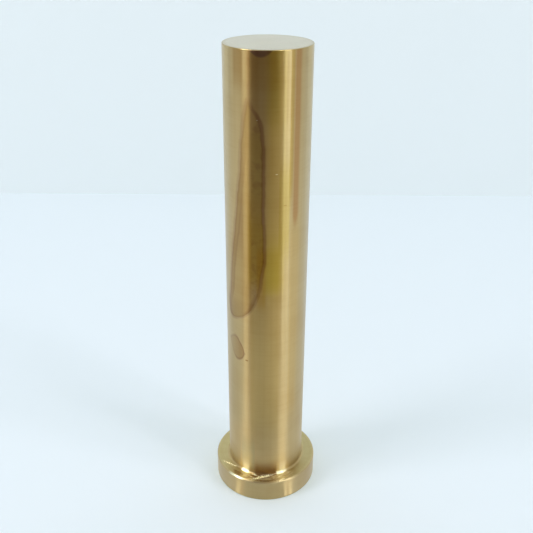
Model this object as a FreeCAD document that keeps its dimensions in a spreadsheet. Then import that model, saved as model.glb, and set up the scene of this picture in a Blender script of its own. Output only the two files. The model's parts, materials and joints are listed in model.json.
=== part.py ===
import FreeCAD, Part
import os
import Sketcher

# Core pin for a mould: one turned piece of copper alloy, a plain round shank on a round head.
# The pin stands on its head. The origin is the centre of the head's bottom face and +Z runs up the
# shank to the tip. The side that shows two tool marks on the shoulder faces -Y.

# Sizes in millimetres, angles in degrees.
SIZES = [
    ("overall_length", 117.5, "head's bottom face to tip face"),
    ("shank_diameter", 20.0, "the diameter that shapes the bore in the moulding"),
    ("head_diameter", 27.0, "held in the counterbore of the plate"),
    ("head_thickness", 6.0, "bottom face to shoulder"),
    ("root_radius", 0.6, "corner left by the turning tool where shank meets shoulder"),
    ("tip_round", 0.2, "edge of the tip face, only just broken"),
    ("shoulder_round", 0.4, "upper edge of the head"),
    ("base_round", 0.3, "lower edge of the head"),
    ("scratch_azimuth", -119.5, "where the scratch's line passes closest to the axis"),
    ("scratch_stand_off", 0.0, "from the shank's surface to the scratch's line"),
    ("scratch_start", 2.4, "along the line, from its closest point to the scratch"),
    ("scratch_length", 5.6, ""),
    ("scratch_widest", 3.6, "along the scratch, from its inner end to its widest place"),
    ("scratch_width", 0.3, ""),
    ("gouge_azimuth", -72.2, "where the gouge's line passes closest to the axis"),
    ("gouge_stand_off", 0.4, "from the shank's surface to the gouge's line"),
    ("gouge_start", -0.3, "the gouge begins just before its closest point to the axis"),
    ("gouge_length", 7.8, ""),
    ("gouge_widest", 5.2, "along the gouge, from its inner end to its widest place"),
    ("gouge_width", 0.7, ""),
]

FULL_TURN = 360.0
NODE = "core_pin"

# A circle found on the solid counts as the wanted one within this distance.
SAME_PLACE = 1e-4


def make_sheet(doc):
    """The driving sizes, one row each: name, value, meaning."""
    sheet = doc.addObject("Spreadsheet::Sheet", "Sizes")
    for row, (name, value, meaning) in enumerate(SIZES, start=1):
        sheet.set(f"A{row}", name)
        sheet.set(f"B{row}", str(value))
        sheet.set(f"C{row}", meaning)
        sheet.setAlias(f"B{row}", name)
    doc.recompute()
    return sheet


def origin_plane(body, role):
    return next(plane for plane in body.Origin.OriginFeatures if plane.Role == role)


def new_sketch(body, name, role):
    """A sketch on one of the body's own origin planes."""
    sketch = body.newObject("Sketcher::SketchObject", name)
    sketch.AttachmentSupport = [(origin_plane(body, role), "")]
    sketch.MapMode = "FlatFace"
    return sketch


def add_outline(sketch, points):
    """Closed outline of straight lines through the points, each line joined to the next."""
    last = len(points) - 1
    for index, (across, along) in enumerate(points):
        next_across, next_along = points[(index + 1) % len(points)]
        start = FreeCAD.Vector(across, along, 0)
        end = FreeCAD.Vector(next_across, next_along, 0)
        sketch.addGeometry(Part.LineSegment(start, end), False)
    for index in range(last):
        sketch.addConstraint(Sketcher.Constraint("Coincident", index, 2, index + 1, 1))
    sketch.addConstraint(Sketcher.Constraint("Coincident", last, 2, 0, 1))


def bind_distance(sketch, kind, line, point, value, formula):
    """A distance from the sketch's origin to a line's end, driven by the sheet."""
    origin = (-1, 1)
    constraint = Sketcher.Constraint(kind, *origin, line, point, value)
    index = sketch.addConstraint(constraint)
    sketch.setExpression(f"Constraints[{index}]", formula)


def turned_blank(doc, body, sheet):
    """Shank and head in one revolved profile: half of the pin's length section."""
    shank_radius = sheet.shank_diameter / 2
    head_radius = sheet.head_diameter / 2
    shoulder = sheet.head_thickness
    tip = sheet.overall_length
    sketch = new_sketch(body, "length_section", "XZ_Plane")
    add_outline(sketch, [
        (0, 0),
        (head_radius, 0),
        (head_radius, shoulder),
        (shank_radius, shoulder),
        (shank_radius, tip),
        (0, tip),
    ])
    base_line, rim_line, shoulder_line, shank_line, tip_line, axis_line = range(6)
    for line in (base_line, shoulder_line, tip_line):
        sketch.addConstraint(Sketcher.Constraint("Horizontal", line))
    for line in (rim_line, shank_line, axis_line):
        sketch.addConstraint(Sketcher.Constraint("Vertical", line))
    sketch.addConstraint(Sketcher.Constraint("Coincident", base_line, 1, -1, 1))
    bind_distance(sketch, "DistanceX", rim_line, 1, head_radius, "Sizes.head_diameter / 2")
    bind_distance(sketch, "DistanceX", shank_line, 1, shank_radius, "Sizes.shank_diameter / 2")
    bind_distance(sketch, "DistanceY", shoulder_line, 1, shoulder, "Sizes.head_thickness")
    bind_distance(sketch, "DistanceY", tip_line, 1, tip, "Sizes.overall_length")
    blank = body.newObject("PartDesign::Revolution", "turned_blank")
    blank.Profile = sketch
    blank.ReferenceAxis = (sketch, ["V_Axis"])
    blank.Angle = FULL_TURN
    doc.recompute()
    return blank


def circle_edge(shape, radius, height):
    """Name of the circular edge with this radius round the axis at this height."""
    for index, edge in enumerate(shape.Edges, start=1):
        curve = edge.Curve
        if not isinstance(curve, Part.Circle):
            continue
        if abs(curve.Radius - radius) < SAME_PLACE and abs(curve.Center.z - height) < SAME_PLACE:
            return f"Edge{index}"
    raise RuntimeError(f"no edge of radius {radius} at height {height}")


def round_edge(doc, body, name, radius, height, size):
    """Rounds one circular edge of the body as it stands, by the size of that name."""
    before = body.Tip
    edge = circle_edge(before.Shape, radius, height)
    rounded = body.newObject("PartDesign::Fillet", name)
    rounded.Base = (before, [edge])
    rounded.setExpression("Radius", f"Sizes.{size}")
    doc.recompute()
    return rounded


def cut_mark(doc, body, sheet, name, kind):
    """A pointed groove in the shoulder, as a hard edge leaves it: half of two cones, base to base.

    The sketch lies in the shoulder's plane. Its vertical axis is the mark's own line, which passes
    beside the shank, and its origin is the place on that line that is closest to the pin's axis.
    """
    start = getattr(sheet, f"{kind}_start")
    widest = getattr(sheet, f"{kind}_widest")
    length = getattr(sheet, f"{kind}_length")
    half_width = getattr(sheet, f"{kind}_width") / 2
    sketch = new_sketch(body, f"{name}_outline", "XY_Plane")
    reach = f"(Sizes.shank_diameter / 2 + Sizes.{kind}_stand_off)"
    turn = f"Sizes.{kind}_azimuth * 1 deg"
    turned = FreeCAD.Rotation(FreeCAD.Vector(0, 0, 1), getattr(sheet, f"{kind}_azimuth"))
    sketch.AttachmentOffset = FreeCAD.Placement(FreeCAD.Vector(0, 0, 0), turned)
    sketch.setExpression("AttachmentOffset.Rotation.Angle", turn)
    sketch.setExpression("AttachmentOffset.Base.x", f"{reach} * cos({turn})")
    sketch.setExpression("AttachmentOffset.Base.y", f"{reach} * sin({turn})")
    sketch.setExpression("AttachmentOffset.Base.z", "Sizes.head_thickness")
    inner_end = -start
    outer_end = -start - length
    widest_place = -start - widest
    add_outline(sketch, [(0, inner_end), (half_width, widest_place), (0, outer_end)])
    inner_cone, outer_cone, middle = range(3)
    sketch.addConstraint(Sketcher.Constraint("PointOnObject", inner_cone, 1, -2))
    sketch.addConstraint(Sketcher.Constraint("PointOnObject", outer_cone, 2, -2))
    inner_formula = f"-Sizes.{kind}_start"
    widest_formula = f"-Sizes.{kind}_start - Sizes.{kind}_widest"
    outer_formula = f"-Sizes.{kind}_start - Sizes.{kind}_length"
    bind_distance(sketch, "DistanceY", inner_cone, 1, inner_end, inner_formula)
    bind_distance(sketch, "DistanceY", outer_cone, 1, widest_place, widest_formula)
    bind_distance(sketch, "DistanceX", outer_cone, 1, half_width, f"Sizes.{kind}_width / 2")
    bind_distance(sketch, "DistanceY", outer_cone, 2, outer_end, outer_formula)
    before = body.Tip.Shape.Volume
    groove = body.newObject("PartDesign::Groove", name)
    groove.Profile = sketch
    groove.ReferenceAxis = (sketch, ["V_Axis"])
    groove.Angle = FULL_TURN
    doc.recompute()
    if not groove.Shape.Volume < before:
        raise RuntimeError(f"{name} cuts nothing")
    return groove


def build_core_pin(doc, sheet):
    """The whole pin: turned blank, tool marks, then the four rounded edges."""
    body = doc.addObject("PartDesign::Body", NODE)
    body.Label = NODE
    turned_blank(doc, body, sheet)
    shank_radius = sheet.shank_diameter / 2
    head_radius = sheet.head_diameter / 2
    shoulder = sheet.head_thickness
    round_edge(doc, body, "root_fillet", shank_radius, shoulder, "root_radius")
    round_edge(doc, body, "tip_edge", shank_radius, sheet.overall_length, "tip_round")
    round_edge(doc, body, "shoulder_edge", head_radius, shoulder, "shoulder_round")
    round_edge(doc, body, "base_edge", head_radius, 0, "base_round")
    cut_mark(doc, body, sheet, "shoulder_scratch", "scratch")
    cut_mark(doc, body, sheet, "shoulder_gouge", "gouge")
    return body


def check_document(doc, pieces):
    """Stops before anything is written if an object failed or a shape is not sound."""
    for thing in doc.Objects:
        if "Invalid" in thing.State or "Error" in thing.State:
            raise RuntimeError(f"{thing.Name} failed: {thing.State}")
    for piece in pieces:
        shape = piece.Shape
        if shape.isNull() or not shape.isValid() or len(shape.Solids) != 1:
            raise RuntimeError(f"{piece.Label} is not one sound solid")


def main():
    doc = FreeCAD.newDocument("CorePin")
    sheet = make_sheet(doc)
    pieces = [build_core_pin(doc, sheet)]
    doc.recompute()
    check_document(doc, pieces)
    os.makedirs("parts", exist_ok=True)
    for piece in pieces:
        piece.Shape.exportStep(f"parts/{piece.Label}.step")
        print(piece.Label, round(piece.Shape.Volume / 1000, 2), "cm3")


main()
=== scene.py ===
import json
import math

import bmesh
import bpy
from mathutils import Matrix, Vector, noise


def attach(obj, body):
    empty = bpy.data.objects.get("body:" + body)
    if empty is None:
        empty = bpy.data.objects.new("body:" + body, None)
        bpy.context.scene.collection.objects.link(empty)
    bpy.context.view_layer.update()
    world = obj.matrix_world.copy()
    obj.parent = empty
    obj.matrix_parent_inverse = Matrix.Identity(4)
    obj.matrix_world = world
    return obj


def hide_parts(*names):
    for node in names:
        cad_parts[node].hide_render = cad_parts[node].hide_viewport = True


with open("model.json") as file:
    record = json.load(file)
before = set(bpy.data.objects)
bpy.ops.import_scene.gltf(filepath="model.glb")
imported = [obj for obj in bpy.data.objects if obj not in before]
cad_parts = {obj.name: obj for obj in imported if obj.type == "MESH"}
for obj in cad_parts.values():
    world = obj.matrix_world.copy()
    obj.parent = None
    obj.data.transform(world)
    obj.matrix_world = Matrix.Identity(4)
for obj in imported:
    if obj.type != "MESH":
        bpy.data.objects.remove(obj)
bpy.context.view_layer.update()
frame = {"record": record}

# Core pin of a mould, turned from one bar of golden copper alloy. It stands on its head on a pale table,
# with the tool marks on its shoulder towards the camera. Lengths are in metres, angles in degrees.

MM = 0.001
UP = Vector((0, 0, 1))

MOUNTS = {mount["name"]: mount for mount in frame["record"]["mounts"]}
SHANK_RADIUS = MOUNTS["shank"]["dims"]["r_mm"] * MM
HEAD_RADIUS = MOUNTS["head_rim"]["dims"]["r_mm"] * MM
SHOULDER = MOUNTS["shoulder"]["pos_m"][2]
TIP = MOUNTS["tip_face"]["pos_m"][2]

ROOT_RADIUS = 0.6 * MM
TIP_ROUND = 0.2 * MM
SHOULDER_ROUND = 0.4 * MM
BASE_ROUND = 0.3 * MM

# The marks on the shoulder. Each lies on a straight line that passes beside the shank: azimuth is
# where the line comes closest to the axis, stand-off is how far it stays from the shank there, and the
# mark runs along the line from start, clockwise seen from above, for its length.
SCRATCH = {
    "azimuth": -119.5, "stand_off": 0.0, "start": 2.4 * MM, "length": 5.6 * MM,
    "widest": 3.6 * MM, "width": 0.3 * MM, "lip": 0.08 * MM, "torn": 0.2,
}
GOUGE = {
    "azimuth": -72.2, "stand_off": 0.4 * MM, "start": -0.3 * MM, "length": 7.8 * MM,
    "widest": 4.4 * MM, "width": 0.62 * MM, "lip": 0.16 * MM, "torn": 0.75,
}
NICK = {
    "azimuth": -110, "stand_off": 0.77 * MM, "start": -1.48 * MM, "length": 1.3 * MM,
    "widest": 0.6 * MM, "width": 0.3 * MM, "lip": 0.1 * MM, "torn": 0.3,
}
MARKS = (SCRATCH, GOUGE, NICK)

# How blunt the marks' ends are, how coarse their torn metal is, and how high and how steep the lips are.
MARK_TAPER = 0.6
TEAR_SIZE = 0.5 * MM
LIP_RISE = 1.4
LIP_FALL = 2.2

TURN_STEPS = 360
SHOULDER_RINGS = 30
MARK_CUTS = 4


# The pin's mesh

def corner(bm, vertex, size, segments):
    """Rounds one corner of the length section by an arc of this radius."""
    bmesh.ops.bevel(
        bm, geom=[vertex], offset=size, offset_type="OFFSET", segments=segments,
        profile=0.5, affect="VERTICES", material=-1,
    )


def length_section(bm):
    """Half of the pin's length section, from the middle of the base to the middle of the tip."""
    support = 0.04 * MM
    places = [
        (0, 0),
        (HEAD_RADIUS, 0),
        (HEAD_RADIUS, SHOULDER),
        (SHANK_RADIUS, SHOULDER),
        (SHANK_RADIUS, TIP),
        (0, TIP),
    ]
    points = [bm.verts.new((across, 0, along)) for across, along in places]
    for first, second in zip(points, points[1:]):
        bm.edges.new((first, second))
    base_corner, rim_corner, root_corner, tip_corner = points[1:5]
    corner(bm, base_corner, BASE_ROUND, 5)
    corner(bm, rim_corner, SHOULDER_ROUND, 7)
    corner(bm, root_corner, ROOT_RADIUS, 9)
    corner(bm, tip_corner, TIP_ROUND, 5)
    straight = [edge for edge in bm.edges if edge.calc_length() > 2 * MM]
    for edge in straight:
        length = edge.calc_length()
        start, end = edge.verts
        bmesh.utils.edge_split(edge, start, support / length)
        edge_to_end = next(e for e in end.link_edges if e.calc_length() > length / 2)
        bmesh.utils.edge_split(edge_to_end, end, support / edge_to_end.calc_length())


def is_shoulder_edge(edge):
    flat = all(abs(vertex.co.z - SHOULDER) < 0.001 * MM for vertex in edge.verts)
    return flat and edge.calc_length() > MM


def turn_pin():
    bm = bmesh.new()
    length_section(bm)
    shoulder_edges = [edge for edge in bm.edges if is_shoulder_edge(edge)]
    bmesh.ops.subdivide_edges(bm, edges=shoulder_edges, cuts=SHOULDER_RINGS)
    bmesh.ops.spin(
        bm, geom=bm.verts[:] + bm.edges[:], cent=(0, 0, 0), axis=UP,
        angle=math.tau, steps=TURN_STEPS, use_merge=True,
    )
    bmesh.ops.remove_doubles(bm, verts=bm.verts[:], dist=0.0005 * MM)
    return bm


def place_on_mark(mark, point):
    """How far a point lies outward of a mark's line, and how far along it from its inner end."""
    angle = math.radians(mark["azimuth"])
    outward = Vector((math.cos(angle), math.sin(angle), 0))
    onward = Vector((math.sin(angle), -math.cos(angle), 0))
    aside = point.dot(outward) - SHANK_RADIUS - mark["stand_off"]
    along = point.dot(onward) - mark["start"]
    return aside, along


def is_near_mark(face):
    """A face of the shoulder that a mark or its lips reach."""
    middle = face.calc_center_median()
    if abs(middle.z - SHOULDER) > 0.001 * MM:
        return False
    for mark in MARKS:
        aside, along = place_on_mark(mark, middle)
        reach = mark["width"] + 0.2 * MM
        if abs(aside) < reach and -0.3 * MM < along < mark["length"] + 0.3 * MM:
            return True
    return False


def mark_depth(mark, point):
    """How far a mark lowers the shoulder at this point: negative on the lip that it threw up."""
    aside, along = place_on_mark(mark, point)
    if not 0 < along < mark["length"]:
        return 0.0
    if along < mark["widest"]:
        share = along / mark["widest"]
    else:
        share = (mark["length"] - along) / (mark["length"] - mark["widest"])
    share = share ** MARK_TAPER
    half_width = share * mark["width"] / 2
    tear = noise.fractal(point / TEAR_SIZE, 0.8, 2.0, 3) * mark["torn"]
    aside += tear * 0.5 * mark["width"]
    if abs(aside) < half_width:
        return math.sqrt(half_width ** 2 - aside ** 2)
    beyond = (abs(aside) - half_width) / (0.5 * mark["width"] * share + 0.02 * MM)
    return -mark["lip"] * share * (1 + tear) * beyond * math.exp(1 - LIP_FALL * beyond) * LIP_RISE


def strike_marks(bm):
    """Sinks the scratch, the gouge and the nick into the shoulder and throws up their lips."""
    marked = [face for face in bm.faces if is_near_mark(face)]
    edges = list({edge for face in marked for edge in face.edges})
    bmesh.ops.subdivide_edges(bm, edges=edges, cuts=MARK_CUTS, use_grid_fill=True)
    fresh = bm.verts.layers.float.new("fresh_cut")
    for vertex in bm.verts:
        radius = vertex.co.xy.length
        if abs(vertex.co.z - SHOULDER) > 0.1 * MM or not SHANK_RADIUS < radius < HEAD_RADIUS:
            continue
        depth = sum(mark_depth(mark, vertex.co) for mark in MARKS)
        vertex.co.z -= depth
        vertex[fresh] = min(max(depth / (0.06 * MM), -depth / (0.2 * MM)), 1.0)


def make_piece(name, bm):
    mesh = bpy.data.meshes.new(name)
    bmesh.ops.recalc_face_normals(bm, faces=bm.faces[:])
    for face in bm.faces:
        face.smooth = True
    bm.to_mesh(mesh)
    bm.free()
    piece = bpy.data.objects.new(name, mesh)
    bpy.context.scene.collection.objects.link(piece)
    return piece


# Shader arithmetic

class Wire:
    """A number on a node's socket. Arithmetic on wires adds one Math node for each step."""

    def __init__(self, recipe, socket):
        self.recipe = recipe
        self.socket = socket

    def math(self, operation, *others):
        inputs = dict(enumerate((self, *others)))
        return self.recipe.node("Math", {"operation": operation}, inputs)[0]

    def __add__(self, other):
        return self.math("ADD", other)

    __radd__ = __add__

    def __mul__(self, other):
        return self.math("MULTIPLY", other)

    __rmul__ = __mul__

    def __sub__(self, other):
        return self.math("SUBTRACT", other)

    def __rsub__(self, other):
        return self.recipe.node("Math", {"operation": "SUBTRACT"}, {0: other, 1: self})[0]

    def __truediv__(self, other):
        return self.math("DIVIDE", other)

    def __pow__(self, other):
        return self.math("POWER", other)

    def __abs__(self):
        return self.math("ABSOLUTE")

    def rise(self, low, high):
        """0 below low, 1 above high, smooth between. With low above high it falls instead."""
        settings = {"interpolation_type": "SMOOTHSTEP"}
        return self.recipe.node("MapRange", settings, {0: self, 1: low, 2: high})[0]


class Recipe:
    """The node tree of one finish."""

    def __init__(self, tree):
        self.tree = tree
        tree.nodes.clear()

    def node(self, kind, settings=None, inputs=None):
        """Adds a node, sets it up, fills its sockets, and gives its outputs as wires."""
        made = self.tree.nodes.new("ShaderNode" + kind)
        for key, value in (settings or {}).items():
            if key == "points":
                self.draw_curve(made, value)
            else:
                setattr(made, key, value)
        for key, value in (inputs or {}).items():
            if isinstance(value, Wire):
                self.tree.links.new(value.socket, made.inputs[key])
            else:
                made.inputs[key].default_value = value
        return [Wire(self, socket) for socket in made.outputs]

    def draw_curve(self, made, points):
        """Puts the points of a float curve, each from 0 to 1 both ways."""
        curve = made.mapping.curves[0]
        for across, up in points[1:-1]:
            curve.points.new(across, up)
        curve.points[0].location = points[0]
        curve.points[len(points) - 1].location = points[-1]
        made.mapping.update()

    def noise(self, place, scale, detail=2.0, rough=0.5):
        inputs = {"Vector": place, "Scale": scale, "Detail": detail, "Roughness": rough}
        return self.node("TexNoise", {"noise_dimensions": "3D"}, inputs)[0]

    def follow(self, wire, places):
        """The second number of places at this wire's value of the first, on a smooth curve."""
        first, last = places[0][0], places[-1][0]
        low = min(value for _, value in places)
        high = max(value for _, value in places)
        points = [
            ((key - first) / (last - first), (value - low) / (high - low))
            for key, value in places
        ]
        share = self.node("MapRange", {"clamp": True}, {0: wire, 1: first, 2: last})[0]
        return self.node("FloatCurve", {"points": points}, {1: share})[0] * (high - low) + low

    def vector(self, across, deep, tall):
        return self.node("CombineXYZ", None, {0: across, 1: deep, 2: tall})[0]

    def blend(self, amount, under, over, mode="MIX"):
        """Colour over on colour under, by amount."""
        settings = {"data_type": "RGBA", "blend_type": mode}
        return self.node("Mix", settings, {0: amount, 6: under, 7: over})[2]


def new_finish(name):
    finish = bpy.data.materials.new(name)
    finish.use_nodes = True
    return finish, Recipe(finish.node_tree)


def rgb(red, green, blue):
    return (red, green, blue, 1.0)


# Finishes

COPPER_ALLOY = rgb(0.603, 0.45, 0.217)
FACED_ALLOY = rgb(0.64, 0.54, 0.35)
SHOULDER_ALLOY = rgb(0.60, 0.49, 0.24)
PALE_FACE = rgb(0.70, 0.585, 0.37)
ROSY_FACE = rgb(0.66, 0.52, 0.36)
EDGE_ALLOY = rgb(0.50, 0.38, 0.17)
# Pale fresh metal for the torn marks and chips, also painted on the rim and the root as white highlights.
FRESH_ALLOY_AND_HIGHLIGHT = rgb(0.96, 0.92, 0.64)
# A paler alloy for the rim all round, also painted on the root at the two streaks as a highlight.
PALE_RIM_AND_HIGHLIGHT = rgb(0.75, 0.68, 0.48)

# Tints that multiply the alloy's own colour: its films and stains, and painted shade.
STAIN_BODY = rgb(0.83, 0.77, 0.66)
STAIN_BAND = rgb(0.87, 0.82, 0.82)
STAIN_RIM = rgb(0.66, 0.54, 0.58)
STAIN_POOL = rgb(0.88, 0.80, 0.42)
OLIVE_FILM = rgb(0.97, 0.96, 0.42)
RED_FILM = rgb(0.88, 0.70, 0.60)
YELLOW_FILM = rgb(0.93, 0.92, 0.70)
LEAF_STAIN = rgb(0.85, 0.785, 0.74)
OLD_FILM = rgb(0.90, 0.84, 0.76)
BURNT_EDGE = rgb(0.55, 0.47, 0.75)
BROWN_FILM = rgb(0.82, 0.73, 0.62)
ORANGE_FILM = rgb(0.90, 0.82, 0.58)
STRAW_FILM = rgb(1.0, 0.97, 0.82)
# Dark brown for scorch specks, also painted as shade in brown patches round the gouge and the scratch.
SCORCH_AND_SHADE = rgb(0.52, 0.38, 0.26)
# Painted shade: darkens the root between the two streaks.
ROOT_SHADE = rgb(0.62, 0.49, 0.40)
AMBER_FILM = rgb(0.95, 0.84, 0.60)
# Painted shade: darkens and greys the head's side and the back right of the shoulder.
HEAD_SHADE = rgb(0.88, 0.885, 0.90)
TOP_FILM = rgb(0.87, 0.77, 0.56)
# Painted shade: darkens the reflections low on the left, low at the front, and on the left streak near
# its foot and near the tip.
LOW_LEFT_SHADE = rgb(0.91, 0.92, 0.92)
LOW_FRONT_SHADE = rgb(0.86, 0.85, 0.84)
LOW_STREAK_SHADE = rgb(0.86, 0.92, 0.97)
HIGH_STREAK_SHADE = rgb(0.80, 0.78, 0.74)
# Painted shade: darkens the tip's rounded edge at the front and on the left, against the high lamps'
# highlight there.
TIP_EDGE_SHADE = rgb(0.40, 0.27, 0.10)
DARK_FILM = rgb(0.80, 0.80, 0.74)
TAN_FILM = rgb(1.08, 1.03, 0.90)

# Outlines of the stains on the shank: azimuth in degrees from the side of the tool marks, to the right,
# and height in millimetres. A side gives the azimuth at each height, a top or a foot the height at each
# azimuth.
DRIP_LEFT = [
    (53, -58), (56, -66), (60, -62), (70, -55), (80, -47), (90, -40), (99, -35), (105, -30), (108, -24),
]
DRIP_RIGHT = [
    (53, -45), (54.5, -30), (57, -18), (61, -11), (67, -5), (72, -2), (80, -4), (90, -4), (99, -5),
    (103, -10), (106, -20), (108, -24),
]
DRIP_FOOT = [
    (-70, 57.5), (-66, 56), (-62, 53.6), (-55, 52.8), (-45, 53), (-30, 54.5), (-18, 57), (-8, 62),
]
LEAF_TOP = [(-64, 46.3), (-57, 47.6), (-50, 48), (-40, 46.5), (-32, 43.6)]
LEAF_FOOT = [(-64, 46), (-57, 43), (-51, 41.4), (-43, 41), (-32, 43.4)]

# How strong the olive film is at each height.
OLIVE_UP = [
    (56, 0), (60, 0.25), (65, 1), (69, 1), (75, 0.6), (82, 0.33), (97, 0.32), (105, 0.55), (117, 0.62),
]

# Radius less height at the tip's edge, in millimetres.
TIP_ACROSS = (SHANK_RADIUS - TIP) / MM


class Pin:
    """Where a point of the pin's surface lies, and the marks and films that every face shares."""

    def __init__(self, recipe):
        self.recipe = recipe
        self.place = recipe.node("TexCoord")[3]
        east, north, height = recipe.node("SeparateXYZ", None, {0: self.place})
        self.height = height / MM
        self.radius = (east * east + north * north) ** 0.5 / MM
        self.azimuth = east.math("ARCTAN2", 0 - north) * math.degrees(1)
        # It grows down the shank to 3.4, round the root to 4.6, out over the shoulder to 7.1, round the
        # shoulder's edge to 7.9 and down the head's side to 13.5.
        self.across = self.radius - self.height
        self.east = east / MM / (self.radius + 0.01)
        self.north = north / MM / (self.radius + 0.01)
        self.fresh = recipe.node("Attribute", {"attribute_name": "fresh_cut"})[2]

    def lines(self, spread, pitch, detail=2.0, rough=0.5):
        """Noise drawn out round the pin, as a cutting edge or an emery cloth leaves it."""
        place = self.recipe.vector(self.east * spread, self.north * spread, self.across / pitch)
        return self.recipe.noise(place, 1.0, detail, rough)

    def cloud(self, size, detail=3.0, rough=0.55):
        return self.recipe.noise(self.place, 1 / (size * MM), detail, rough)

    def runs(self, spread):
        """Noise drawn out along the shank, as wiping leaves it."""
        place = self.recipe.vector(self.east * spread, self.north * spread, self.height / 45)
        return self.recipe.noise(place, 1.0)

    def arc(self, degrees):
        """Millimetres round the shank for an angle."""
        return degrees * (math.radians(1) * SHANK_RADIUS / MM)

    def spot(self, azimuth, height, wide, tall):
        """1 in the middle of a small oval on the shank, 0 outside it."""
        aside = self.arc(self.azimuth - azimuth) / wide
        above = (self.height - height) / tall
        return (aside * aside + above * above).rise(1.0, 0.3)

    def patch(self, azimuth, radius, long, wide):
        """1 in the middle of an oval on the shoulder that runs along its rings, 0 outside it."""
        ragged = (self.cloud(0.5) - 0.5) * 2.4
        along = (self.azimuth - azimuth) * (math.radians(1) * radius) / long
        across = (self.radius - radius) / wide
        return (along * along + across * across + ragged).rise(1.1, 0.2)

    def scuffed(self):
        """1 on the front of the shoulder, which the slipped tool has roughened, 0 elsewhere."""
        on_shoulder = self.across.rise(4.6, 4.9) * self.across.rise(7.2, 6.9)
        return on_shoulder * self.azimuth.rise(-32, -20) * self.azimuth.rise(42, 30)


def within_drip(pin):
    """Millimetres from the long drip stain's outline inwards, and from its left edge alone."""
    height, azimuth = pin.height, pin.azimuth
    ragged = (pin.cloud(4.0, 2.0) - 0.5) * 0.9
    from_left = pin.arc(azimuth - pin.recipe.follow(height, DRIP_LEFT)) + ragged
    from_right = pin.arc(pin.recipe.follow(height, DRIP_RIGHT) - azimuth) + ragged
    from_foot = height - pin.recipe.follow(azimuth, DRIP_FOOT) + ragged
    sides = from_left.math("SMOOTH_MIN", from_right, 0.5)
    return sides.math("SMOOTH_MIN", from_foot, 0.8), from_left


def within_leaf(pin):
    ragged = (pin.cloud(2.5, 2.0) - 0.5) * 0.6
    below_top = pin.recipe.follow(pin.azimuth, LEAF_TOP) - pin.height
    above_foot = pin.height - pin.recipe.follow(pin.azimuth, LEAF_FOOT)
    from_sides = 3 - pin.arc(abs(pin.azimuth + 48))
    return below_top.math("SMOOTH_MIN", above_foot, 0.6).math("SMOOTH_MIN", from_sides, 0.6) + ragged


def overall_films(pin):
    return [
        (pin.cloud(9.0).rise(0.42, 0.72) * 0.45, OLD_FILM),
        (pin.lines(0.6, 3.0).rise(0.45, 0.75) * 0.22, OLD_FILM),
        (pin.lines(1.4, 0.5).rise(0.45, 0.7) * 0.2, OLD_FILM),
        (pin.runs(14.0).rise(0.45, 0.7) * 0.18, OLD_FILM),
        (pin.runs(45.0).rise(0.45, 0.7) * 0.08, OLD_FILM),
    ]


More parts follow.
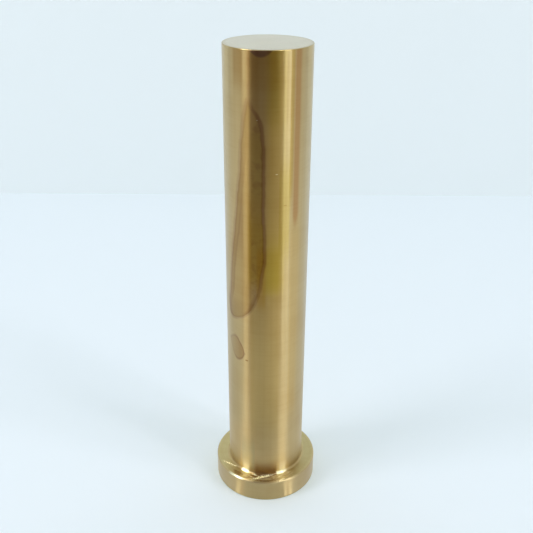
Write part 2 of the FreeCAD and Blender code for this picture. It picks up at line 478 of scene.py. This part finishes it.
def shank_films(pin):
    """The coloured films, drips and specks of the shank and its painted shade, each with its strength and
    tint.
    """
    height, azimuth = pin.height, pin.azimuth
    wavy = (pin.cloud(6.0) - 0.5) * 8.0

    olive_left = azimuth + wavy - (height - 68) * 0.15
    olive_right = (azimuth + wavy * 0.5).rise(28, 13)
    olive = olive_left.rise(-12, 2) * olive_right * pin.recipe.follow(height, OLIVE_UP)
    straw = azimuth.rise(-25, -21) * azimuth.rise(22, 16) * height.rise(14, 26) * height.rise(66, 54)
    red = (azimuth + wavy * 0.15).rise(33.5, 38) * (azimuth + wavy * 0.2).rise(47.5, 42.5)
    red_end = height - abs(azimuth - 40) * 0.35 + wavy * 0.1
    orange = azimuth.rise(28.5, 30.5) * azimuth.rise(36, 33.5) * height.rise(80, 90)
    yellow = azimuth.rise(14, 17) * azimuth.rise(33, 29) * height.rise(66, 76) * height.rise(97, 88)
    amber = azimuth.rise(-16, -11) * azimuth.rise(1, -4) * height.rise(55, 60) * height.rise(76, 70)
    early = azimuth.rise(-26, -20) * azimuth.rise(-8, -14) * height.rise(96, 104)
    brown = azimuth.rise(-50, -44) * azimuth.rise(-30, -34) * height.rise(106, 114)
    dark_top = height.rise(106, 114) * azimuth.rise(-30, -22) * azimuth.rise(16, 8)
    # Painted shade: low_left, low_front, low_streak and high_streak darken the reflections low on the
    # left, low at the front, and on the left streak near its foot and near the tip.
    low_left = azimuth.rise(-66, -58) * azimuth.rise(-30, -36) * height.rise(17, 25) * height.rise(60, 52)
    low_front = azimuth.rise(-26, -21) * azimuth.rise(21, 16) * height.rise(38, 16) * height.rise(8, 24)
    low_streak = azimuth.rise(-41, -37) * azimuth.rise(-15, -19) * height.rise(20, 13)
    high_streak = azimuth.rise(-40, -34) * azimuth.rise(-24, -28) * height.rise(92, 104)
    dark_right = height.rise(99, 108) * azimuth.rise(-5, 2) * azimuth.rise(18, 10)
    tan_right = azimuth.rise(31, 34.5) * (azimuth + wavy * 0.3).rise(54, 43)
    tan_right = tan_right * height.rise(20, 30) * height.rise(84, 74)
    films = [
        (olive, OLIVE_FILM),
        (straw, STRAW_FILM),
        (red * red_end.rise(76, 80), RED_FILM),
        (orange, ORANGE_FILM),
        (yellow, YELLOW_FILM),
        (amber, AMBER_FILM),
        (early * 0.5, BROWN_FILM),
        (brown, BROWN_FILM),
        (dark_top * 0.65, TOP_FILM),
        (dark_right, DARK_FILM),
        (low_left, LOW_LEFT_SHADE),
        (low_front, LOW_FRONT_SHADE),
        (low_streak, LOW_STREAK_SHADE),
        (high_streak * 0.8, HIGH_STREAK_SHADE),
        (tan_right, TAN_FILM),
    ]

    inside, from_left = within_drip(pin)
    body = inside.rise(0.0, 0.5)
    middle = azimuth.rise(-24, -19)
    band_right = azimuth.rise(-31, -35) * height.rise(68, 76)
    band = body * from_left.rise(1.9, 1.2).math("MAXIMUM", band_right) * height.rise(101, 90)
    gilt = body * middle * height.rise(80, 88) * height.rise(104, 98)
    pool = azimuth.rise(-29, -22) * height.rise(60, 66) * height.rise(92, 76) * inside.rise(0.1, 0.6)
    rim = abs(inside - 0.1).rise(0.75, 0.15)
    rim_strength = 0.45 + azimuth.rise(-24, -8) * height.rise(58, 68) * 0.5
    contour = abs(from_left - 1.6).rise(0.4, 0.1) * body * height.rise(57, 62) * height.rise(88, 78)
    foot_rim = abs(inside - 0.5).rise(1.0, 0.2) * body * height.rise(64, 58) * azimuth.rise(-40, -24)
    films += [
        (body * (1 - middle * 0.65), STAIN_BODY),
        (band, STAIN_BAND),
        (pool, STAIN_POOL),
        (gilt * 0.9, YELLOW_FILM),
        (body * middle * pin.cloud(2.2).rise(0.45, 0.7) * 0.45, STAIN_RIM),
        (rim * rim_strength, STAIN_RIM),
        (contour * 0.35, STAIN_RIM),
        (body * height.rise(60, 56) * 0.5, STAIN_BAND),
        (foot_rim * 0.6, STAIN_RIM),
    ]

    leaf = within_leaf(pin)
    off_centre = (azimuth + 9) / 14
    burnt = height - off_centre * off_centre * 1.3 + wavy * 0.05
    films += [
        (leaf.rise(0.0, 0.5) * (0.75 + azimuth.rise(-60, -46) * 0.25), LEAF_STAIN),
        (leaf.rise(0.0, 0.6) * azimuth.rise(-48, -38) * 0.7, LEAF_STAIN),
        (abs(leaf - 0.3).rise(0.6, 0.1) * (0.25 + azimuth.rise(-60, -42) * 0.4), STAIN_RIM),
        (burnt.rise(115.8, 116.4), BURNT_EDGE),
        (pin.spot(-29, 41.7, 0.55, 0.26) * 0.85, SCORCH_AND_SHADE),
        (pin.spot(24, 83.5, 0.5, 0.18) * 0.8, BROWN_FILM),
    ]
    # Painted shade: the tip's rounded edge is darkened at the front and on the left, where the high lamps
    # would light it.
    tip_edge = pin.across.rise(TIP_ACROSS + 0.05, TIP_ACROSS - 0.1) * pin.radius.rise(9.7, 9.85)
    shaded_tip_arc = azimuth.rise(-25, -20) * azimuth.rise(23, 19) + azimuth.rise(-30, -35) * 0.5
    films.append((tip_edge * shaded_tip_arc, TIP_EDGE_SHADE))
    on_shank = pin.radius.rise(9.5, 9.75) * pin.radius.rise(10.6, 10.2) * height.rise(6.4, 7.4)
    return [(amount * on_shank, tint) for amount, tint in films]


def shoulder_films(pin):
    """Painted shade in the root and on the head's side, films on the shoulder, and brown patches round
    the tool marks, partly scorch and partly painted shade.
    """
    azimuth = pin.azimuth
    on_shoulder = pin.across.rise(4.4, 4.7) * pin.across.rise(7.2, 6.9)
    in_root = pin.across.rise(-1.2, 3.2) * pin.across.rise(4.9, 4.6)
    between_streaks = azimuth.rise(-20, -13) * azimuth.rise(20, 15)
    return [
        # Painted shade: the root between the two streaks, the head's side and the back right of the
        # shoulder are darkened.
        (in_root * between_streaks, ROOT_SHADE),
        (pin.across.rise(7.8, 8.0), HEAD_SHADE),
        (on_shoulder * azimuth.rise(30, 70) * 0.6, HEAD_SHADE),
        (on_shoulder * pin.cloud(1.6).rise(0.35, 0.7) * 0.35, OLD_FILM),
        (on_shoulder * pin.lines(1.5, 0.35).rise(0.4, 0.7) * 0.25, OLD_FILM),
        # These brown patches round the gouge and beside the scratch are partly scorch and partly painted
        # shade, among them darker reflections along the front rim.
        (pin.patch(-38, 12.1, 1.7, 0.75) * on_shoulder * 0.8, SCORCH_AND_SHADE),
        (pin.patch(-16, 11.3, 1.4, 0.5) * on_shoulder, SCORCH_AND_SHADE),
        (pin.patch(-21, 12.0, 1.2, 0.5) * on_shoulder * 0.6, SCORCH_AND_SHADE),
        (pin.patch(0, 12.75, 3.4, 0.3) * on_shoulder * 0.9, SCORCH_AND_SHADE),
        (pin.patch(-4, 10.6, 1.5, 0.25) * on_shoulder, SCORCH_AND_SHADE),
        (pin.scuffed() * pin.lines(5.0, 0.5).rise(0.48, 0.64) * 0.6, SCORCH_AND_SHADE),
        # Painted shadow: darker at the edges of the gouge's lips.
        (pin.fresh.rise(0.0, 0.15) * pin.fresh.rise(0.6, 0.3) * pin.scuffed() * 0.8, SCORCH_AND_SHADE),
    ]


def pale_rim_and_root_highlight(pin):
    """How far the rim is made paler all round, and how far the root beside the front is painted pale as a
    highlight at the two streaks.
    """
    azimuth = pin.azimuth
    rim = pin.across.rise(6.9, 7.15) * pin.across.rise(8.0, 7.8)
    root = pin.across.rise(-0.5, 3.0) * pin.across.rise(4.9, 4.6)
    left = azimuth.rise(-40, -35) * azimuth.rise(-24, -28)
    right = azimuth.rise(20, 24) * azimuth.rise(36, 30)
    return rim * 0.12 + root * (left + right) * 0.6


def bare_metal_and_highlights(pin):
    """How far fresh metal shows in the torn marks and on chips at the rim, and how far the rim and the
    root at the two streaks are painted whitish as highlights.
    """
    azimuth = pin.azimuth
    torn = pin.fresh * (0.3 + pin.cloud(0.5, 2.0).rise(0.4, 0.6) * 0.7)
    chipped = pin.patch(21, 12.9, 2.2, 0.35) * pin.lines(12.0, 0.35).rise(0.5, 0.6)
    rim = pin.across.rise(6.95, 7.15) * pin.across.rise(7.95, 7.8)
    root = pin.across.rise(3.2, 3.7) * pin.across.rise(4.8, 4.6)
    rim_left = azimuth.rise(-50, -42) * azimuth.rise(-24, -31)
    rim_right = azimuth.rise(12, 15) * azimuth.rise(27, 23) * 0.05
    root_left = azimuth.rise(-40, -36) * azimuth.rise(-25, -28)
    root_right = azimuth.rise(15.5, 18) * azimuth.rise(29, 25)
    # Painted highlight: the rim and the root are whitened where the lamps reflect in them beside the two
    # streaks.
    painted_highlight = rim * (rim_left + rim_right) + root * (root_left + root_right)
    fleck = pin.scuffed() * pin.lines(9.0, 0.3).rise(0.57, 0.66) * 0.45
    bare = torn
    for place in (chipped * 0.8, painted_highlight * 0.9, fleck):
        bare = bare.math("MAXIMUM", place)
    return bare


def stained_colour(pin, alloy):
    """The alloy's colour with its films and painted shade, the bright flecks, the fresh metal of the
    marks, and the painted highlights on the rim and the root.
    """
    recipe = pin.recipe
    colour = alloy
    for amount, tint in overall_films(pin) + shank_films(pin) + shoulder_films(pin):
        colour = recipe.blend(amount, colour, tint, "MULTIPLY")
    flecks = pin.spot(12, 91, 0.35, 0.12) * 0.8 + pin.spot(-13, 103, 0.2, 0.1) * 0.6
    colour = recipe.blend(flecks, colour, FRESH_ALLOY_AND_HIGHLIGHT)
    on_face = pin.height.rise(117.3, 117.45) + pin.height.rise(0.2, 0.05)
    colour = recipe.blend(on_face * pin.cloud(5.0).rise(0.45, 0.6) * 0.5, colour, PALE_FACE)
    colour = recipe.blend(on_face * pin.cloud(3.5).rise(0.55, 0.7) * 0.4, colour, ROSY_FACE)
    colour = recipe.blend(on_face * pin.radius.rise(8.9, 9.7) * 0.75, colour, EDGE_ALLOY)
    colour = recipe.blend(pale_rim_and_root_highlight(pin), colour, PALE_RIM_AND_HIGHLIGHT)
    return recipe.blend(bare_metal_and_highlights(pin), colour, FRESH_ALLOY_AND_HIGHLIGHT)


def copper_alloy_finish(name, alloy, roughness, lay, relief_strength):
    """Turned alloy. Lay is how much the turning lines draw its reflections out across them."""
    finish, recipe = new_finish(name)
    pin = Pin(recipe)
    fine = pin.lines(0.8, 0.22, 3.0, 0.6)
    emery = pin.lines(2.5, 0.12, 1.0)
    broad = pin.lines(0.5, 1.6)
    coarser_foot = pin.height.rise(60, 12) * 0.05
    smoother_root = pin.across.rise(-2, 2.5) * pin.across.rise(5.2, 4.8) * 0.05
    smoother_head = pin.across.rise(7.8, 8.0) * 0.05
    dull = roughness + coarser_foot - smoother_root - smoother_head + pin.fresh * 0.4
    dull = dull + (fine - 0.5) * 0.006 + (broad - 0.5) * 0.008 + (pin.runs(30.0) - 0.5) * 0.012
    dull = dull + pin.scuffed() * (0.04 + pin.lines(5.0, 0.5).rise(0.35, 0.65) * 0.12)
    relief = fine * 0.6 + emery.rise(0.5, 0.8) * 0.3 + broad * 0.3
    bumps = recipe.node("Bump", None, {
        "Strength": relief_strength, "Distance": 0.004 * MM, "Height": relief,
    })[0]
    shader = recipe.node("BsdfPrincipled", None, {
        "Base Color": stained_colour(pin, alloy),
        "Metallic": 1.0,
        "Roughness": dull,
        "Anisotropic": lay,
        "Anisotropic Rotation": 0.25,
        "Normal": bumps,
    })[0]
    recipe.node("OutputMaterial", None, {0: shader})
    return finish


def plain_board(name, colour, glow):
    finish, recipe = new_finish(name)
    shader = recipe.node("BsdfPrincipled", None, {
        "Base Color": colour,
        "Roughness": 0.9,
        "Specular IOR Level": 0.1,
        "Emission Color": glow,
        "Emission Strength": 1.0,
    })[0]
    recipe.node("OutputMaterial", None, {0: shader})
    return finish


# Where a card's two colours run into each other: so far each way from the middle, and between these
# shares of the way from the pin's side to its back.
FLAG_SPREAD = 60 * MM
SIDE_TURN = (0.1, 0.8)


def flag_cloth(name, left_colour, right_colour, gains):
    """A card that only shows in the pin's reflections, in two colours that run into each other.

    Gains are pairs of a way from the pin's foot, out along the table and then up, and a strength there.
    """
    finish, recipe = new_finish(name)
    east, north, height = recipe.node("SeparateXYZ", None, {0: recipe.node("TexCoord")[3]})
    colour = recipe.blend(east.rise(-FLAG_SPREAD, FLAG_SPREAD), left_colour, right_colour)
    way = ((east * east + north * north) ** 0.5 + height) / MM
    gain = recipe.follow(way, gains)
    scaled = recipe.node("VectorMath", {"operation": "SCALE"}, {0: colour, 3: gain})[0]
    shader = recipe.node("Emission", None, {"Color": scaled, "Strength": 1.0})[0]
    recipe.node("OutputMaterial", None, {0: shader})
    return finish


def plain_cloth(name, colour, gains):
    """A card of one colour."""
    return flag_cloth(name, colour, colour, gains)


def side_cloth(name, near_colour, far_colour):
    """The card at each side, which turns from one colour to the other towards the back."""
    finish, recipe = new_finish(name)
    east, north, _ = recipe.node("SeparateXYZ", None, {0: recipe.node("TexCoord")[3]})
    backwards = north / (east * east + north * north) ** 0.5
    colour = recipe.blend(backwards.rise(*SIDE_TURN), near_colour, far_colour)
    shader = recipe.node("Emission", None, {"Color": colour, "Strength": 1.0})[0]
    recipe.node("OutputMaterial", None, {0: shader})
    return finish


# The table, the wall behind it and what the pin reflects

WALL_PLACE = 216 * MM
TABLE_COLOUR = rgb(0.745, 0.745, 0.87)
TABLE_GLOW = rgb(0.11, 0.17, 0.095)
WALL_COLOUR = rgb(0.905, 0.955, 0.975)
NO_GLOW = rgb(0, 0, 0)


def stage_piece(name, bm, finish):
    piece = make_piece(name, bm)
    piece.data.materials.append(finish)
    return piece


def flat_board(name, size, placing, finish):
    bm = bmesh.new()
    bmesh.ops.create_grid(bm, x_segments=1, y_segments=1, size=size)
    bmesh.ops.transform(bm, matrix=placing, verts=bm.verts[:])
    return stage_piece(name, bm, finish)


def on_circle(radius, azimuth, height):
    """The place at this radius and azimuth from the camera's side, in millimetres and degrees."""
    turn = math.radians(azimuth)
    return Vector((radius * math.sin(turn), -radius * math.cos(turn), height)) * MM


def reflected_only(name, bm, finish):
    """A card that the pin's reflections see, and nothing else does."""
    card = stage_piece(name, bm, finish)
    card.visible_camera = False
    card.visible_diffuse = False
    card.visible_shadow = False
    return card


def curved_screen(name, near, far, first, last, finish):
    """A screen curved round the pin, between two azimuths from the camera's side.

    Near and far are the radius and the height of its two curved edges, in millimetres.
    """
    bm = bmesh.new()
    ends = [bm.verts.new(on_circle(radius, first, height)) for radius, height in (near, far)]
    edge = bm.edges.new(ends)
    bmesh.ops.spin(
        bm, geom=[*ends, edge], cent=(0, 0, 0), axis=UP,
        angle=math.radians(last - first), steps=48,
    )
    return reflected_only(name, bm, finish)


def table_strip(name, first, last, finish):
    """The way on the table from the pin's foot, at about half these azimuths, to the screen at them."""
    share = LEFT_FOOT_SHARE if last < 0 else RIGHT_FOOT_SHARE
    bm = bmesh.new()
    corners = [
        bm.verts.new(on_circle(STRIP_START, first * share, TABLE_GAP)),
        bm.verts.new(on_circle(STRIP_RADIUS, first, TABLE_GAP)),
        bm.verts.new(on_circle(STRIP_RADIUS, last, TABLE_GAP)),
        bm.verts.new(on_circle(STRIP_START, last * share, TABLE_GAP)),
    ]
    bm.faces.new(corners)
    return reflected_only(name, bm, finish)


# Azimuths of the lit strips beside the dark room, which draw the two bright streaks down the pin.
STRIPS = [
    ("left_dim", -52, -45, "dim"),
    ("left_middle", -57, -52, "middle"),
    ("left_shade", -71, -61.5, "shade"),
    ("left_strip", -61.5, -57, "left_lit"),
    ("right_strip_inner", 41, 47.5, "lit"),
    ("right_gap", 47.5, 51, "dim"),
    ("right_strip_outer", 51, 59, "lit"),
]
LEFT_FOOT_SHARE = 0.54
RIGHT_FOOT_SHARE = 0.48
STRIP_START = 12
STRIP_RADIUS = 110
STRIP_TOP = 400
TABLE_GAP = 0.5

# Azimuths of the lamps high above, which draw the small lights in the root, the rim and the tip's edge.
HIGH_LAMPS = [
    ("left_high_lamp", -88, -83, "high"),
    ("left_root_lamp", -82, -75, "bright"),
    ("right_root_lamp", 40, 48, "bright"),
    ("right_high_lamp_inner", 50, 57, "high"),
    ("right_high_lamp_outer", 64, 74, "high"),
]


def set_stage():
    flat_board("table", 1.2, Matrix.Identity(4), plain_board("table_top", TABLE_COLOUR, TABLE_GLOW))
    upright = Matrix.Translation((0, WALL_PLACE, 0)) @ Matrix.Rotation(math.pi / 2, 4, "X")
    flat_board("wall", 1.2, upright, plain_board("wall_paint", WALL_COLOUR, NO_GLOW))

    dark_gains = [(100, 1.7), (200, 1.45), (300, 1.05), (400, 0.6), (765, 0.5)]
    dark = flag_cloth("dark_room", rgb(0.165, 0.125, 0.07), rgb(0.36, 0.30, 0.16), dark_gains)
    curved_screen("dark_front", (400, 0), (400, 365), -46.6, 42.4, dark)
    curved_screen("dark_floor", (100, 0.3), (400, 0.3), -46.6, 42.4, dark)

    side = side_cloth("side_room", rgb(0.57, 0.60, 0.575), rgb(0.37, 0.46, 0.58))
    curved_screen("left_side", (500, 0), (500, 900), -170, -61.5, side)
    curved_screen("right_side", (500, 0), (500, 900), 59, 170, side)
    side_table = side_cloth("side_table", rgb(0.84, 0.93, 1.03), rgb(0.78, 0.93, 1.15))
    curved_screen("left_side_table", (13.6, 0.2), (500, 0.2), -170, -64, side_table)
    curved_screen("right_side_table", (13.6, 0.2), (500, 0.2), 60, 170, side_table)

    even = [(0, 1.0), (1200, 1.01)]
    upwards = [(110, 1.0), (145, 0.94), (165, 0.86), (205, 0.80)]
    left_nearer = [(12, 1.0), (19, 0.98), (28, 0.68), (46, 0.60), (85, 0.58), (110, 0.60)]
    nearer = [(12, 1.0), (19, 0.98), (28, 0.76), (46, 0.69), (85, 0.65), (110, 0.66)]
    cloths = {
        "left_lit": plain_cloth("left_strip_light", rgb(0.81, 0.82, 0.76), upwards),
        "lit": flag_cloth("strip_light", rgb(0.90, 0.90, 0.87), rgb(1.16, 1.27, 1.27), even),
        "dim": flag_cloth("dim_strip", rgb(0.55, 0.51, 0.38), rgb(0.35, 0.35, 0.32), even),
        "middle": plain_cloth("middle_strip", rgb(0.84, 0.82, 0.63), upwards),
        "dim_table": flag_cloth("dim_table", rgb(0.86, 0.84, 0.78), rgb(0.8, 0.82, 0.8), nearer),
        "high": flag_cloth("high_light", rgb(18.0, 18.5, 18.5), rgb(11.0, 11.5, 11.5), even),
        "bright": flag_cloth("bright_light", rgb(21.0, 22.0, 23.0), rgb(16.0, 17.0, 18.0), even),
        "shade": plain_cloth("left_shade", rgb(0.50, 0.52, 0.49), even),
        "shade_table": plain_cloth("left_shade_table", rgb(0.73, 0.79, 0.85), even),
        "left_lit_table": plain_cloth("left_lit_table", rgb(1.16, 1.22, 1.17), left_nearer),
        "lit_table": plain_cloth("lit_table", rgb(1.50, 1.58, 1.60), nearer),
    }
    cloths["middle_table"] = cloths["left_lit_table"]
    for name, first, last, kind in STRIPS:
        curved_screen(name, (STRIP_RADIUS, 0), (STRIP_RADIUS, STRIP_TOP), first, last, cloths[kind])
        table_strip(name + "_table", first, last, cloths[kind + "_table"])
    table_strip("left_beside_table", -120, -71, side_table)
    table_strip("right_beside_table", 59, 120, side_table)

    for name, first, last, kind in HIGH_LAMPS:
        curved_screen(name, (500, 560), (150, 640), first, last, cloths[kind])


LAMP_DISTANCE = 900 * MM
LAMP_ELEVATION = 45
LAMP_TALL = 400 * MM


def soft_lamp(name, first, last, power):
    """An upright light panel between two azimuths from the camera's side, turned to the pin."""
    side = math.radians((first + last) / 2)
    height = math.radians(LAMP_ELEVATION)
    half_angle = math.radians((last - first) / 2)
    light = bpy.data.lights.new(name, "AREA")
    light.shape = "RECTANGLE"
    light.size = 2 * LAMP_DISTANCE * math.tan(half_angle) * math.cos(height)
    light.size_y = LAMP_TALL
    light.energy = power
    light.color = (0.96, 0.99, 1.0)
    lamp = bpy.data.objects.new(name, light)
    out = math.cos(height)
    spot = Vector((math.sin(side) * out, -math.cos(side) * out, math.sin(height)))
    lamp.location = spot * LAMP_DISTANCE
    lamp.rotation_euler = spot.to_track_quat("Z", "Y").to_euler()
    lamp.visible_camera = False
    bpy.context.scene.collection.objects.link(lamp)
    return lamp


def set_lights():
    soft_lamp("left_lamp_outer", -80, -66, 1.2)
    soft_lamp("left_lamp_inner", -65, -55, 0.6)
    soft_lamp("right_lamp_inner", 50, 59, 0.8)
    soft_lamp("right_lamp_outer", 64, 74, 0.8)
    world = bpy.data.worlds.new("pale_room")
    world.use_nodes = True
    recipe = Recipe(world.node_tree)
    air = recipe.node("Background", None, {0: rgb(0.95, 0.985, 1.0), 1: 0.60})[0]
    recipe.node("OutputWorld", None, {0: air})
    bpy.context.scene.world = world


# The camera, as the photograph was taken

CAMERA_PLACE = Vector((-0.04, -162.05, 144.54)) * MM
CAMERA_DOWN = 26.53
CAMERA_ROLL = 0.34
IMAGE_SIDE = 533
FOCAL_PIXELS = 732.3


def set_camera():
    lens = bpy.data.cameras.new("camera")
    lens.sensor_fit = "HORIZONTAL"
    lens.lens = FOCAL_PIXELS / IMAGE_SIDE * lens.sensor_width
    lens.clip_start = 1 * MM
    camera = bpy.data.objects.new("camera", lens)
    tilt = Matrix.Rotation(math.radians(90 - CAMERA_DOWN), 4, "X")
    roll = Matrix.Rotation(math.radians(CAMERA_ROLL), 4, "Z")
    camera.matrix_world = Matrix.Translation(CAMERA_PLACE) @ tilt @ roll
    bpy.context.scene.collection.objects.link(camera)
    bpy.context.scene.camera = camera


# The pin's finishes, in the order that finish_of counts them: name, alloy, roughness, how much the
# turning lines draw its reflections out, and how strong their relief is.
PIN_FINISHES = [
    ("turned_copper_alloy", COPPER_ALLOY, 0.292, 1.0, 0.004),
    ("faced_copper_alloy", FACED_ALLOY, 0.16, 0.3, 0.06),
    ("scuffed_copper_alloy", SHOULDER_ALLOY, 0.28, 0.7, 0.4),
]


def finish_of(face):
    """0 for the turned walls and edges, 1 for the tip face and the base, 2 for the shoulder."""
    radius = face.center.xy.length
    near_shoulder = abs(face.center.z - SHOULDER) < 0.3 * MM
    if near_shoulder and SHANK_RADIUS + ROOT_RADIUS < radius < HEAD_RADIUS - SHOULDER_ROUND:
        return 2
    return 1 if abs(face.normal.z) > 0.9 and not near_shoulder else 0


def make_core_pin():
    bm = turn_pin()
    strike_marks(bm)
    pin = make_piece("core_pin_turned", bm)
    for finish in PIN_FINISHES:
        pin.data.materials.append(copper_alloy_finish(*finish))
    for face in pin.data.polygons:
        face.material_index = finish_of(face)
    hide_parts("core_pin")
    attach(pin, "root")
    return pin


make_core_pin()
set_stage()
set_lights()
set_camera()
bpy.context.scene.view_settings.view_transform = "Standard"
